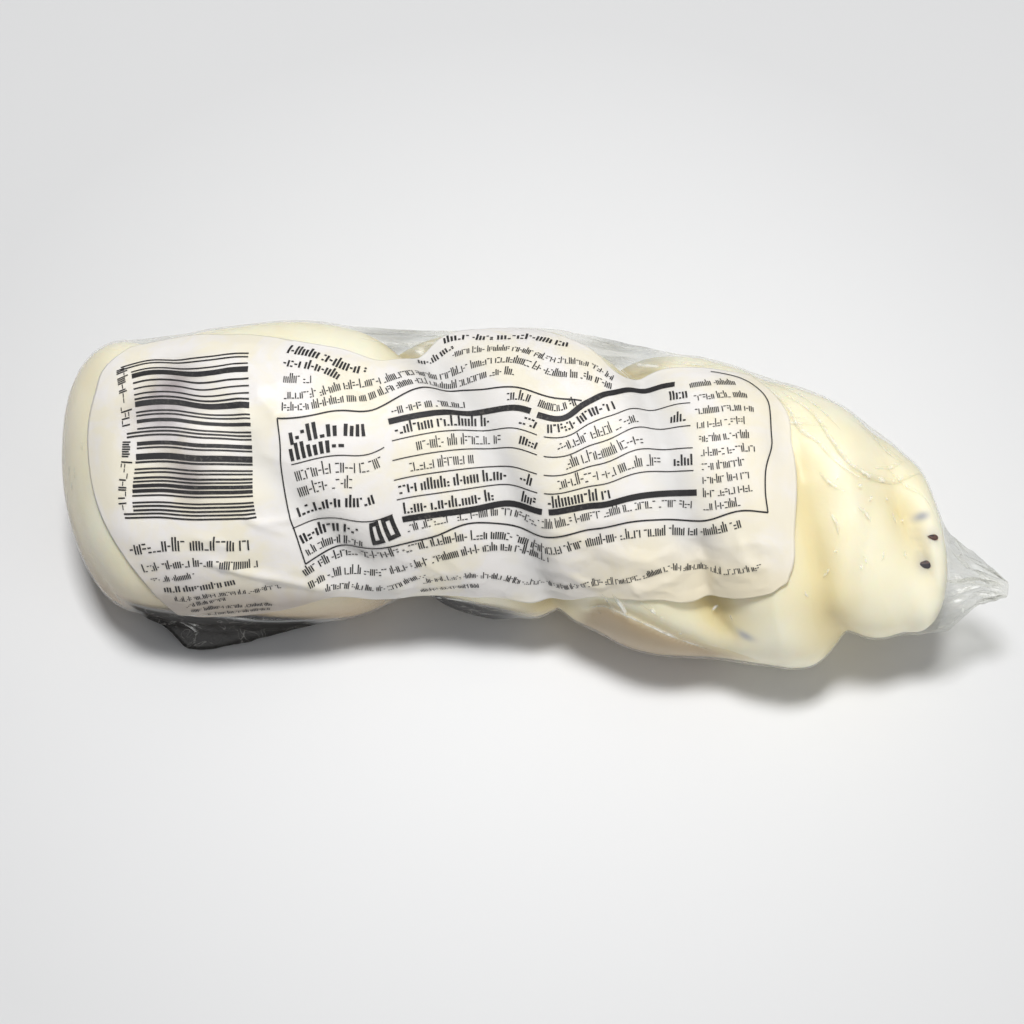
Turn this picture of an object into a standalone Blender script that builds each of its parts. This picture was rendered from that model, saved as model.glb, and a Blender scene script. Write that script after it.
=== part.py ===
"""A hand-twisted string cheese with black seeds, shrunk tight into a clear film bag with a printed label.

The pack lies along X and rests on z = 0. Its cross-sections are drawn in a leaning frame: "up" runs across
the label's face towards its top edge, and "out" runs straight out of that face. An angle round a section is
0 at the top edge, 90 degrees in the middle of the label, 180 at the bottom edge and 270 on the back.
"""

import math

import bmesh
import bpy
import numpy as np
from mathutils import Matrix, Vector

MM = 0.001

# The pack's length, in mm along X.
CHEESE_LEFT = -86.3
CHEESE_RIGHT = 76.0
TAIL_TIP = 87.0

# The ends close over these lengths: blunt on the left, shorter and narrower on the right.
LEFT_CAP = 19.0
RIGHT_CAP = 13.0

# How far the label's face leans back from straight up, and how flat the twist is out of its face.
FACE_LEAN = math.radians(28)
THICKNESS_SHARE = 0.76
SECTION_POWER = 2.2

# Along X: the middle of the section up the face, and its half height, both in mm.
MIDDLE_UP = [
    (-86.3, 8.2), (-80, 4.4), (-72, 1.0), (-60, 1.6), (-45, 3.9), (-30, 5.4), (-18, 7.3), (-5, 8.4),
    (5, 7.9), (12, 7.8), (20, 6.2), (35, 4.8), (50, 2.9), (56, 1.9), (61, 2.3), (66, 1.9), (70, 1.2),
    (73, -1.4), (76, -3.5), (79, -3.1), (82, -2.5), (85, -3.0), (87, -3.4),
]
HALF_HEIGHT = [
    (-86.3, 26.2), (-72, 25.9), (-60, 27.3), (-45, 27.8), (-30, 27.0), (-18, 25.9), (-5, 26.2), (5, 27.3),
    (12, 26.9), (20, 27.5), (35, 27.0), (50, 25.2), (56, 24.0), (61, 20.6), (66, 17.9), (76, 17.6),
]

# The two ropes are wound round each other, tighter towards the right end. The groove between them has turned
# by so many degrees where it crosses the top edge, and where it crosses the bottom edge, at these X.
TWIST_AT_TOP = [(-118, -180), (-72, 0), (-27, 180), (14, 360), (40, 540), (60, 720), (80, 880)]
TWIST_AT_BOTTOM = [(-118, -180), (-66, 0), (-18.5, 180), (9.5, 360), (41, 540), (60, 720), (80, 880)]
GROOVE_DEPTH = [(-86, 0.8), (-72, 1.6), (-52, 3.2), (-26, 6.0), (12, 5.8), (40, 5.4), (60, 5.6), (76, 2.0)]
GROOVE_WIDTH = 3.6
GROOVE_SOFTNESS = 1.5
SOFTNESS_UNDER_LABEL = 2.4
ROPE_REACH = 23.0

# How much of a groove the film spans at each angle round the section: nearly all along the top edge, where
# its far side stretches from rope to rope, and half of it under the middle of the label.
BRIDGING = [(-12, 0.93), (0, 0.95), (12, 0.92), (27, 0.22), (42, 0.15), (62, 0.5), (90, 0.58), (122, 0.4),
            (148, 0.12), (180, 0.06), (215, 0.15), (270, 0.3), (322, 0.5), (348, 0.93), (360, 0.95)]
BRIDGING_PAST_LABEL = 0.12

# The bag's mouth is gathered into a flat tail past the right end: half height and half thickness along X.
TAIL_HEIGHT = [(66, 11.8), (72, 11.4), (76, 8.2), (79, 6.1), (82, 3.5), (85, 1.8), (87, 0.9)]
TAIL_THICKNESS = [(66, 11.0), (72, 7.5), (75.5, 4.6), (78, 3.0), (81, 2.0), (84, 1.5), (87, 1.0)]

# A loose corner of the bag is folded out along the bottom edge, near the left end.
CORNER_HEIGHT = [
    (-70, 0.0), (-66, 0.9), (-63, 3.3), (-60.5, 5.0), (-58, 5.3), (-54, 4.5), (-50, 3.4), (-42, 1.7),
    (-36, 0.6), (-33, 0.0),
]
CORNER_SPREAD = 14.0

# The pack settles by this much onto what it lies on, which leaves it a flat to rest on.
SETTLE = 2.6

# The film's mesh. Its triangles are cut along the grooves, which keeps their edges smooth.
STATIONS = 92
SIDES = 48
ALONG_GROOVES = "ALTERNATE"
CORNER_SIDE = 25  # the corner stands on this edge of the mesh, counted from the top edge

# The label's edges. The upper and the lower one give the angle round the section at each X, in degrees, and
# the left and the right one give X from the lower edge (-1) to the upper edge (1). Between two ropes, the
# upper edge is drawn down into the groove.
LABEL_UPPER = [(-76, 26), (-68, 17), (-55, 21), (-38, 30), (-30, 28), (-12, 11), (-4, 9.5), (4, 19), (18, 23),
               (30, 21), (38.7, 17.5), (46, 19)]
LABEL_LOWER = [(-60, 159.5), (-55, 161), (-42, 153), (-32, 152), (-19, 163), (-10, 158), (2, 154), (13, 142),
               (24, 134.5), (36, 133), (46, 125)]
LABEL_LEFT = [(-1, -59.5), (-0.68, -66.2), (-0.29, -73.8), (0.1, -77), (0.58, -77.4), (0.9, -75.6), (1, -73)]
LABEL_RIGHT = [(-1, 41.5), (-0.92, 45.4), (-0.74, 47.5), (-0.4, 47.4), (0.47, 45.6), (0.85, 42.5), (1, 37.5)]
LABEL_DRAWN_DOWN = 9.0
LABEL_THICKNESS = 0.25
LABEL_GAP = 0.5
LABEL_SPAN = 0.18  # the share of a groove in the film that the label still spans
LABEL_COLUMNS = 46
LABEL_ROWS = 20

# Seeds that show through the film press it out a little.
SEED_LENGTH = 2.5
SEED_WIDTH = 1.5
SEED_RISE = 0.35
SHOWN_SEEDS = [(72.2, 56, 0), (71.2, 95, 8)]  # along X in mm, then angle round the section and turn in degrees
SCATTERED_SEEDS = 30
SCATTER_START = -79.0
SCATTER_END = 70.0
GOLDEN_ANGLE = 137.508
BACK_FROM = 196
BACK_TO = 344

COLOURS = {"film": (0.88, 0.84, 0.66, 1), "label": (0.87, 0.85, 0.81, 1)}


def curve_through(points):
    """A smooth function of X through the points, level beyond its ends."""
    at_x, height = np.array(points, float).T
    slope = np.gradient(height, at_x)

    def curve(x):
        x = np.clip(x, at_x[0], at_x[-1])
        i = np.clip(np.searchsorted(at_x, x, side="right") - 1, 0, len(at_x) - 2)
        run = at_x[i + 1] - at_x[i]
        t = (x - at_x[i]) / run
        rise = t * t * (3 - 2 * t)
        bend = t * (1 - t) * run * ((1 - t) * slope[i] - t * slope[i + 1])
        return height[i] * (1 - rise) + height[i + 1] * rise + bend

    return curve


middle_up = curve_through(MIDDLE_UP)
half_height = curve_through(HALF_HEIGHT)
twist_at_top = curve_through(TWIST_AT_TOP)
twist_at_bottom = curve_through(TWIST_AT_BOTTOM)
bridging_round = curve_through(BRIDGING)
groove_depth = curve_through(GROOVE_DEPTH)
tail_height = curve_through(TAIL_HEIGHT)
tail_thickness = curve_through(TAIL_THICKNESS)
corner_height = curve_through(CORNER_HEIGHT)
label_upper_on_rope = curve_through(LABEL_UPPER)
label_lower = curve_through(LABEL_LOWER)
label_left = curve_through(LABEL_LEFT)
label_right = curve_through(LABEL_RIGHT)


def smooth_step(value, low, high):
    t = np.clip((value - low) / (high - low), 0, 1)
    return t * t * (3 - 2 * t)


def oval(angle, up, out):
    """How far from its middle a rounded oval with these half sizes reaches at an angle."""
    across = np.abs(np.cos(angle)) / np.maximum(up, 1e-6)
    outward = np.abs(np.sin(angle)) / np.maximum(out, 1e-6)
    return (across**SECTION_POWER + outward**SECTION_POWER) ** (-1 / SECTION_POWER)


def end_closing(x):
    """1 along the body, falling to 0 at the two ends of the cheese as a quarter of an ellipse."""
    left = np.clip(1 - (x - CHEESE_LEFT) / LEFT_CAP, 0, 1)
    right = np.clip(1 - (CHEESE_RIGHT - x) / RIGHT_CAP, 0, 1)
    return np.sqrt(1 - left**2) * np.sqrt(1 - right**2)


def on_label_side(x, angle):
    """1 on the side of the pack that the label covers, 0 elsewhere."""
    return smooth_step(np.sin(angle), 0.2, 0.6) * (1 - smooth_step(x, 42, 50))


def twist(x, angle):
    """How far the ropes have turned at x, in degrees. The top and the bottom edge each have their own."""
    lower = (1 - np.cos(angle)) / 2
    return twist_at_top(x) * (1 - lower) + twist_at_bottom(x) * lower


def groove(x, angle):
    """How much of the groove between the two ropes is felt here: 1 in its bottom, fading over the ropes."""
    turned = twist(x, angle)
    pitch = np.radians(twist(x + 0.5, angle) - twist(x - 0.5, angle))
    lay = 1 / np.sqrt(1 + (ROPE_REACH * pitch) ** 2)
    away = ROPE_REACH * np.arcsin(np.abs(np.sin(angle - np.radians(turned)))) * lay
    soft = GROOVE_SOFTNESS + (SOFTNESS_UNDER_LABEL - GROOVE_SOFTNESS) * on_label_side(x, angle)
    away = np.sqrt(away**2 + soft**2) - soft
    upper_right = smooth_step(x, 24, 36) * smooth_step(np.cos(angle), 0.55, 0.95)
    flush_below = np.exp(-(((x - 41) / 9) ** 2)) * smooth_step(-np.cos(angle), 0.75, 1.0)
    return np.exp(-away / GROOVE_WIDTH) * (1 - 0.8 * upper_right) * (1 - 0.85 * flush_below)


def bridging(x, angle):
    """The share of a groove that the film spans."""
    spanned = bridging_round(np.degrees(angle) % 360)
    past_label = smooth_step(x, 42, 48) * smooth_step(np.sin(angle), 0.4, 0.7)
    return spanned + (BRIDGING_PAST_LABEL - spanned) * past_label


def film_reach(x, angle, spanned=0.0):
    """How far the film lies from the middle of the section at x, in the direction of the angle.

    A sheet laid over the film spans a further share of each groove.
    """
    closing = end_closing(x)
    up = half_height(x) * closing
    body = oval(angle, up, up * THICKNESS_SHARE)
    dip = groove_depth(x) * groove(x, angle) * (1 - bridging(x, angle)) * (1 - spanned) * closing
    tail = oval(angle, tail_height(x), tail_thickness(x)) * smooth_step(x, 58, 70)
    body = np.maximum(body - dip, 0)
    reach = 0.5 * (body + tail + np.sqrt((body - tail) ** 2 + 1.0)) - 0.5 * (1 - smooth_step(x, 58, 70))
    off_corner = np.abs(np.degrees(angle) - CORNER_SIDE * 360 / SIDES) / CORNER_SPREAD
    return reach + corner_height(x) * np.clip(1 - off_corner, 0, 1) ** 2


def axis_out(x):
    """The middle of the section out of the face, which keeps the twist's axis level."""
    return -middle_up(x) * math.tan(FACE_LEAN)


def lean(x, up, out):
    """A point of the leaning frame in the pack's own frame, before it is set down."""
    y = up * math.cos(FACE_LEAN) - out * math.sin(FACE_LEAN)
    z = up * math.sin(FACE_LEAN) + out * math.cos(FACE_LEAN)
    return np.stack([x + 0 * y, y, z], axis=-1)


def surface(x, angle, proud=0.0, spanned=0.0):
    """Points that lie proud of the film by so much, before the pack is set down."""
    reach = film_reach(x, angle, spanned) + proud
    return lean(x, middle_up(x) + reach * np.cos(angle), axis_out(x) + reach * np.sin(angle))


def pack_box():
    """The film's lowest and highest corner before it is set down."""
    x, angle = np.meshgrid(station(np.linspace(0, 1, 240)), np.linspace(0, 2 * math.pi, 181))
    points = surface(x, angle).reshape(-1, 3)
    return points.min(0), points.max(0)


def station(share):
    """X at a share of the pack's length. The sections lie closer together towards the two ends."""
    eased = share - 0.6 * np.sin(2 * math.pi * share) / (2 * math.pi)
    return CHEESE_LEFT + (TAIL_TIP - CHEESE_LEFT) * eased


LOWEST, HIGHEST = pack_box()
SET_DOWN = np.array([
    -(LOWEST[0] + HIGHEST[0]) / 2,
    -(LOWEST[1] + HIGHEST[1]) / 2,
    -LOWEST[2] - SETTLE,
])


def set_down(points, clear=0.0):
    """Moves points to the pack's own origin and presses flat what would sink below what it lies on."""
    moved = points + SET_DOWN
    moved[..., 2] = np.maximum(moved[..., 2], clear)
    return moved * MM


def clear_scene():
    for thing in list(bpy.data.objects):
        bpy.data.objects.remove(thing)


def plastic(name, colour, roughness):
    """A material with one colour and gloss."""
    material = bpy.data.materials.new(name)
    material.use_nodes = True
    shader = material.node_tree.nodes["Principled BSDF"]
    shader.inputs["Base Color"].default_value = colour
    shader.inputs["Roughness"].default_value = roughness
    return material


def add_object(name, mesh_builder, material):
    """Turns a bmesh into a smooth-shaded object in the scene."""
    mesh = bpy.data.meshes.new(name)
    mesh_builder.to_mesh(mesh)
    mesh_builder.free()
    mesh.materials.append(material)
    mesh.shade_smooth()
    made = bpy.data.objects.new(name, mesh)
    bpy.context.scene.collection.objects.link(made)
    return made


def build_pack(material):
    """The bag with its cheese, as a sphere whose parallels are drawn out into the pack's cross-sections."""
    ball = bmesh.new()
    bmesh.ops.create_uvsphere(ball, u_segments=SIDES, v_segments=STATIONS, radius=1.0)
    for vertex in ball.verts:
        share = math.acos(max(-1.0, min(1.0, -vertex.co.z))) / math.pi
        x = float(station(share))
        angle = math.atan2(vertex.co.y, vertex.co.x) % (2 * math.pi)
        if share < 1e-4 or share > 1 - 1e-4:
            point = lean(np.float64(x), middle_up(x), axis_out(x))
        else:
            point = surface(np.float64(x), angle)
        vertex.co = Vector(set_down(point))
    bmesh.ops.triangulate(ball, faces=ball.faces, quad_method=ALONG_GROOVES)
    return add_object("cheese_pack", ball, material)


def label_upper(x):
    """The angle of the label's upper edge, which is drawn down where a groove crosses the pack's top edge."""
    from_groove = np.abs(np.sin(np.radians(twist_at_top(x))))
    drawn_down = np.exp(-((from_groove / 0.42) ** 2)) * smooth_step(x, -60, -40) * (1 - smooth_step(x, 20, 34))
    return label_upper_on_rope(x) + LABEL_DRAWN_DOWN * drawn_down


def label_points(u, v, proud):
    """Where the label lies: u runs from -1 at its left edge to 1, v from -1 at its lower edge to 1."""
    x = label_left(v) + (label_right(v) - label_left(v)) * (u + 1) / 2
    degrees = label_lower(x) + (label_upper(x) - label_lower(x)) * (v + 1) / 2
    return set_down(surface(x, np.radians(degrees), proud, LABEL_SPAN))


def build_label(material):
    """The label, as a flat sheet laid round the pack, then given its thickness."""
    sheet = bmesh.new()
    bmesh.ops.create_grid(sheet, x_segments=LABEL_COLUMNS, y_segments=LABEL_ROWS, size=1.0)
    u, v = np.array([vertex.co[:2] for vertex in sheet.verts]).T
    v = 0.35 * np.sin(v * math.pi / 2) + 0.65 * v  # rows closer together towards the corners
    for vertex, point in zip(sheet.verts, label_points(u, v, LABEL_GAP + LABEL_THICKNESS / 2)):
        vertex.co = Vector(point)
    bmesh.ops.triangulate(sheet, faces=sheet.faces, quad_method=ALONG_GROOVES)
    label = add_object("label", sheet, material)
    thicken = label.modifiers.new("thickness", "SOLIDIFY")
    thicken.thickness = LABEL_THICKNESS * MM
    thicken.offset = 0
    return label


def seed_places():
    """Where the seeds show: two at the right end, and the rest spread evenly over the back."""
    places = list(SHOWN_SEEDS)
    for count in range(SCATTERED_SEEDS):
        x = SCATTER_START + (SCATTER_END - SCATTER_START) * (count + 0.5) / SCATTERED_SEEDS
        angle = (GOLDEN_ANGLE * count + 40) % 360
        if BACK_FROM < angle < BACK_TO:
            places.append((x, angle, (count * 71) % 180))
    return places


def build_seeds(into):
    """Low oval bumps for the seeds, in a collection of their own."""
    for number, (x, degrees, turn) in enumerate(seed_places()):
        angle = math.radians(degrees)
        here = set_down(surface(np.float64(x), angle))
        along = set_down(surface(np.float64(x + 0.5), angle)) - here
        round_it = set_down(surface(np.float64(x), angle + 0.02)) - here
        if here[2] < 3 * MM:
            continue  # on the flat that the pack rests on
        axis_x = Vector(along).normalized()
        normal = Vector(round_it).cross(axis_x).normalized()
        if normal.dot(Vector(here) - Vector(set_down(lean(np.float64(x), middle_up(x), axis_out(x))))) < 0:
            normal = -normal
        frame = Matrix((axis_x, normal.cross(axis_x), normal)).transposed().to_4x4()
        size = Matrix.Diagonal((SEED_LENGTH / 2, SEED_WIDTH / 2, SEED_RISE * 2, 1)) * MM
        size[3][3] = 1
        place = Matrix.Translation(Vector(here) - normal * SEED_RISE * MM)
        grain = bmesh.new()
        bmesh.ops.create_uvsphere(grain, u_segments=8, v_segments=4, radius=1.0)
        bmesh.ops.transform(
            grain,
            matrix=place @ frame @ Matrix.Rotation(math.radians(turn), 4, "Z") @ size,
            verts=grain.verts,
        )
        mesh = bpy.data.meshes.new(f"seed_{number}")
        grain.to_mesh(mesh)
        grain.free()
        into.objects.link(bpy.data.objects.new(f"seed_{number}", mesh))


def fuse_seeds(pack):
    """Joins the seeds' bumps to the film with one Boolean, then removes them."""
    seeds = bpy.data.collections.new("seeds")
    bpy.context.scene.collection.children.link(seeds)
    build_seeds(seeds)
    join = pack.modifiers.new("seeds", "BOOLEAN")
    join.operation = "UNION"
    join.operand_type = "COLLECTION"
    join.collection = seeds
    join.solver = "MANIFOLD"
    bpy.context.view_layer.objects.active = pack
    bpy.ops.object.modifier_apply(modifier=join.name)
    for seed in list(seeds.objects):
        bpy.data.objects.remove(seed)
    bpy.data.collections.remove(seeds)


def main():
    clear_scene()
    pack = build_pack(plastic("film over cheese", COLOURS["film"], 0.2))
    fuse_seeds(pack)
    build_label(plastic("label film", COLOURS["label"], 0.45))


main()
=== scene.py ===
import math
import random
from functools import partial

import bmesh
import bpy
import numpy as np
from mathutils import Matrix, Vector, noise


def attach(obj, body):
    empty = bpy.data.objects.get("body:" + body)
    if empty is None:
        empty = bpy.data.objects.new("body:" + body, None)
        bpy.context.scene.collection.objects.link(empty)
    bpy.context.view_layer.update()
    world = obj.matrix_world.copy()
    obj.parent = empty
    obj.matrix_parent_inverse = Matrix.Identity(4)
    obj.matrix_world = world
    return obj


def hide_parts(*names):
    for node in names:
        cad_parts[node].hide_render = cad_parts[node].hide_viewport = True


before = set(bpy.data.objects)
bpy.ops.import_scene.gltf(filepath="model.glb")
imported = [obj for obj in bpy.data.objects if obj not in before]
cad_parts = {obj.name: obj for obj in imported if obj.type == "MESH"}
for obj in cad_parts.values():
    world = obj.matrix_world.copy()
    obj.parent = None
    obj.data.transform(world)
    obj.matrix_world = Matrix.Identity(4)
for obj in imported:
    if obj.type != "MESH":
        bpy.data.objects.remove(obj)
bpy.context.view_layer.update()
millimetre = 0.001
print("frame loaded")


def curveThrough(points):
    # a smooth function through the points, level beyond its ends
    at, height = np.array(points, float).T
    slope = np.gradient(height, at)

    def curve(x):
        x = np.clip(x, at[0], at[-1])
        i = np.clip(np.searchsorted(at, x, side="right") - 1, 0, len(at) - 2)
        run = at[i + 1] - at[i]
        t = (x - at[i]) / run
        rise = t * t * (3 - 2 * t)
        bend = t * (1 - t) * run * ((1 - t) * slope[i] - t * slope[i + 1])
        return height[i] * (1 - rise) + height[i + 1] * rise + bend

    return curve


def fade(value, *edges):
    # 0 before the first number of a pair and 1 after the second, or falling where the first is the greater
    share = 1.0
    for none, full in edges:
        t = np.clip((value - none) / (full - none), 0, 1)
        share = share * t * t * (3 - 2 * t)
    return share


def patches(x, degrees, rows):
    # areas with soft edges: strength, fades in X, fades in degrees
    return sum(strength * fade(x, *alongX) * fade(degrees, *turned) for strength, alongX, turned in rows)


def swells(x, angle, rows, power=2):
    # soft rises: X, degrees, half lengths in mm and in degrees, height
    total = 0.0
    for atX, atDegrees, halfX, halfDegrees, height in rows:
        turned = (np.degrees(angle) - atDegrees + 180) % 360 - 180
        total = total + height * np.exp(-(((x - atX) / halfX) ** power) - (turned / halfDegrees) ** 2)
    return total


# the pack's shape, as the CAD has it, in mm
# A section's "up" runs across the label's face and leans back; an angle round it is 0 at the top edge,
# 90 in the middle of the label, 180 at the bottom edge and 270 on the back.

packShape = {
    "cheeseLeft": -86.3, "cheeseRight": 76.0, "tailTip": 87.0,  # X of the ends
    "leftCap": 19.0, "rightCap": 13.0,  # how far the rounding of the cheese's ends reaches
    "faceLean": math.radians(28),
    "thicknessShare": 0.76,
    "sectionPower": 2.2,  # 2 is an ellipse, more is squarer
    "settle": 2.6,  # how much of it is pressed flat underneath
    "tailGrows": (58, 70),
    "cornerDegrees": 187.5, "cornerSpread": 14.0,
    "spannedPastLabel": 0.12,  # the share of a groove that the film spans past the label
    "crowding": 0.6,  # how much closer the faces lie towards the ends
}
grooveShape = {
    "reach": 23.0,  # from the middle of the twist, mm
    "width": 3.6, "softness": 1.5, "softerUnderLabel": 0.9,
    # shares of its depth and width, towards the right end
    "shallowAbove": 0.8, "shallowBelow": 0.85, "shallowLast": 0.5, "widerLast": 0.5,
}
middleUp = curveThrough([
    (-86.3, 8.2), (-80, 4.4), (-72, 1), (-60, 1.6), (-45, 3.9), (-30, 5.4), (-18, 7.3), (-5, 8.4), (5, 7.9),
    (12, 7.8), (20, 6.2), (35, 4.8), (50, 2.9), (56, 1.9), (61, 2.3), (66, 1.9), (70, 1.2), (73, -1.4), (76, -3.5),
    (79, -3.1), (82, -2.5), (85, -3), (87, -3.4),
])
halfHeight = curveThrough([
    (-86.3, 26.2), (-72, 25.9), (-60, 27.3), (-45, 27.8), (-30, 27), (-18, 25.9), (-5, 26.2), (5, 27.3), (12, 26.9),
    (20, 27.5), (35, 27), (50, 25.2), (56, 24), (61, 20.6), (66, 17.9), (76, 17.6),
])
twistAtTop = curveThrough([(-118, -180), (-72, 0), (-27, 180), (14, 360), (40, 540), (60, 720), (80, 880)])
twistAtBottom = curveThrough([(-118, -180), (-66, 0), (-18.5, 180), (9.5, 360), (41, 540), (60, 720), (80, 880)])
grooveDepth = curveThrough([(-86, 0.8), (-72, 1.6), (-52, 3.2), (-26, 6), (12, 5.8), (40, 5.4), (60, 5.6), (76, 2)])
bridgingRound = curveThrough([
    (-12, 0.93), (0, 0.95), (12, 0.92), (27, 0.22), (42, 0.15), (62, 0.5), (90, 0.58), (122, 0.4), (148, 0.12),
    (180, 0.06), (215, 0.15), (270, 0.3), (322, 0.5), (348, 0.93), (360, 0.95),
])
tailHeight = curveThrough([(66, 11.8), (72, 11.4), (76, 8.2), (79, 6.1), (82, 3.5), (85, 1.8), (87, 0.9)])
tailThickness = curveThrough([(66, 11), (72, 7.5), (75.5, 4.6), (78, 3), (81, 2), (84, 1.5), (87, 1)])
cornerHeight = curveThrough([
    (-72, 0), (-69, 0.8), (-66, 2.6), (-62.5, 5.2), (-60, 6.3), (-57, 6), (-50, 4.6), (-42, 2.6), (-36, 1.2),
    (-31, 0),
])
labelUpperOnRope = curveThrough([
    (-76, 26), (-68, 17), (-55, 21), (-38, 30), (-30, 28), (-12, 11), (-4, 9.5), (4, 19), (18, 23), (30, 21),
    (38.7, 17.5), (46, 19),
])
labelLower = curveThrough([
    (-62, 159), (-55, 160), (-48, 160), (-41, 157), (-32, 152), (-24, 158.5), (-16, 158.5), (-9, 156.5), (-3, 155.5),
    (5, 157.5), (9, 152.5), (13, 145), (17.5, 139.5), (25, 135), (33, 136), (40, 129), (46, 121),
])
labelLeft = curveThrough([
    (-1, -59.5), (-0.68, -66.2), (-0.29, -73.8), (0.1, -77), (0.58, -77.4), (0.9, -75.6), (1, -73),
])
labelRight = curveThrough([
    (-1, 44.6), (-0.95, 46.5), (-0.84, 47.4), (-0.4, 47.4), (0.47, 45.6), (0.85, 42.5), (1, 37.5),
])
# where cheese and film run level across a groove at the front
levelPlaces = [(8, 166, 6, 10, 2.8)]


def oval(angle, up, out):
    power = packShape["sectionPower"]
    across = np.abs(np.cos(angle)) / np.maximum(up, 1e-6)
    outward = np.abs(np.sin(angle)) / np.maximum(out, 1e-6)
    return (across**power + outward**power) ** (-1 / power)


def endClosing(x):
    left = np.clip(1 - (x - packShape["cheeseLeft"]) / packShape["leftCap"], 0, 1)
    right = np.clip(1 - (packShape["cheeseRight"] - x) / packShape["rightCap"], 0, 1)
    return np.sqrt(1 - left**2) * np.sqrt(1 - right**2)


def twistAt(x, angle):
    lower = (1 - np.cos(angle)) / 2
    return twistAtTop(x) * (1 - lower) + twistAtBottom(x) * lower


def lastGroove(x, angle):
    # the front of the last groove before the right end
    return fade(x, (41, 46), (62, 58)) * fade(np.sin(angle), (0.45, 0.9))


def grooveAt(x, angle):
    # 1 in the bottom of the groove between the two ropes, fading over them
    reach, last = grooveShape["reach"], lastGroove(x, angle)
    pitch = np.radians(twistAt(x + 0.5, angle) - twistAt(x - 0.5, angle))
    lay = 1 / np.sqrt(1 + (reach * pitch) ** 2)
    away = reach * np.arcsin(np.abs(np.sin(angle - np.radians(twistAt(x, angle))))) * lay
    underLabel = fade(np.sin(angle), (0.2, 0.6)) * fade(x, (50, 42))
    soft = grooveShape["softness"] + grooveShape["softerUnderLabel"] * underLabel
    away = np.sqrt(away**2 + soft**2) - soft
    above = fade(x, (24, 36)) * fade(np.cos(angle), (0.55, 0.95))
    below = np.exp(-(((x - 41) / 9) ** 2)) * fade(np.cos(angle), (-0.75, -1))
    share = (1 - grooveShape["shallowAbove"] * above) * (1 - grooveShape["shallowBelow"] * below)
    share = share * (1 - grooveShape["shallowLast"] * last)
    return np.exp(-away / (grooveShape["width"] * (1 + grooveShape["widerLast"] * last))) * share


def bridging(x, angle):
    # the share of a groove that the film spans
    spanned = bridgingRound(np.degrees(angle) % 360)
    pastLabel = fade(x, (42, 48)) * fade(np.sin(angle), (0.4, 0.7))
    return spanned + (packShape["spannedPastLabel"] - spanned) * pastLabel


def cheeseReach(x, angle, spanned=0.0):
    # how far the ropes lie from the section's middle, or a skin that spans a share of each groove
    closing = endClosing(x)
    up = halfHeight(x) * closing
    dip = grooveDepth(x) * grooveAt(x, angle) * closing * (1 - spanned)
    return np.maximum(oval(angle, up, up * packShape["thicknessShare"]) + swells(x, angle, levelPlaces) - dip, 0)


def filmReach(x, angle, spanned=0.0):
    # the same for the film; a sheet over it spans a further share of each groove
    body = cheeseReach(x, angle, 1 - (1 - bridging(x, angle)) * (1 - spanned))
    growth = fade(x, packShape["tailGrows"])
    tail = oval(angle, tailHeight(x), tailThickness(x)) * growth
    reach = 0.5 * (body + tail + np.sqrt((body - tail) ** 2 + 1.0)) - 0.5 * (1 - growth)
    offCorner = np.abs(np.degrees(angle) % 360 - packShape["cornerDegrees"]) / packShape["cornerSpread"]
    return reach + cornerHeight(x) * np.clip(1 - offCorner, 0, 1) ** 2


def sectionPoint(x, angle, reach):
    # the point so far from the section's middle, before the pack is set down
    lean, middle = packShape["faceLean"], middleUp(x)
    up = middle + reach * np.cos(angle)
    out = reach * np.sin(angle) - middle * math.tan(lean)
    y = up * math.cos(lean) - out * math.sin(lean)
    z = up * math.sin(lean) + out * math.cos(lean)
    return np.stack([x + 0 * y, y, z], axis=-1)


def station(share, right):
    # X at a share of the way from the left end
    eased = share - packShape["crowding"] * np.sin(2 * math.pi * share) / (2 * math.pi)
    return packShape["cheeseLeft"] + (right - packShape["cheeseLeft"]) * eased


def packOffset():
    shares = np.linspace(0, 1, 240)
    x, angle = np.meshgrid(station(shares, packShape["tailTip"]), np.linspace(0, 2 * math.pi, 181))
    points = sectionPoint(x, angle, filmReach(x, angle)).reshape(-1, 3)
    lowest, highest = points.min(0), points.max(0)
    middle = (lowest + highest) / 2
    return np.array([-middle[0], -middle[1], -lowest[2] - packShape["settle"]])


setDownBy = packOffset()


def setDown(points, clear=0.0):
    # moves points, in mm, to the pack's origin and presses flat what would sink below what it lies on
    moved = points + setDownBy
    moved[..., 2] = np.maximum(moved[..., 2], clear)
    return moved


def labelUpper(x):
    # the label's upper edge is drawn down where a groove crosses the pack's top edge
    fromGroove = np.abs(np.sin(np.radians(twistAtTop(x))))
    return labelUpperOnRope(x) + 9 * np.exp(-((fromGroove / 0.42) ** 2)) * fade(x, (-60, -40), (34, 20))


def labelPlace(u, v):
    # X and the angle at a place on the label: u from -1 at its left edge, v from -1 at its lower edge
    x = labelLeft(v) + (labelRight(v) - labelLeft(v)) * (u + 1) / 2
    degrees = labelLower(x) + (labelUpper(x) - labelLower(x)) * (v + 1) / 2
    return x, np.radians(degrees)


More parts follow.
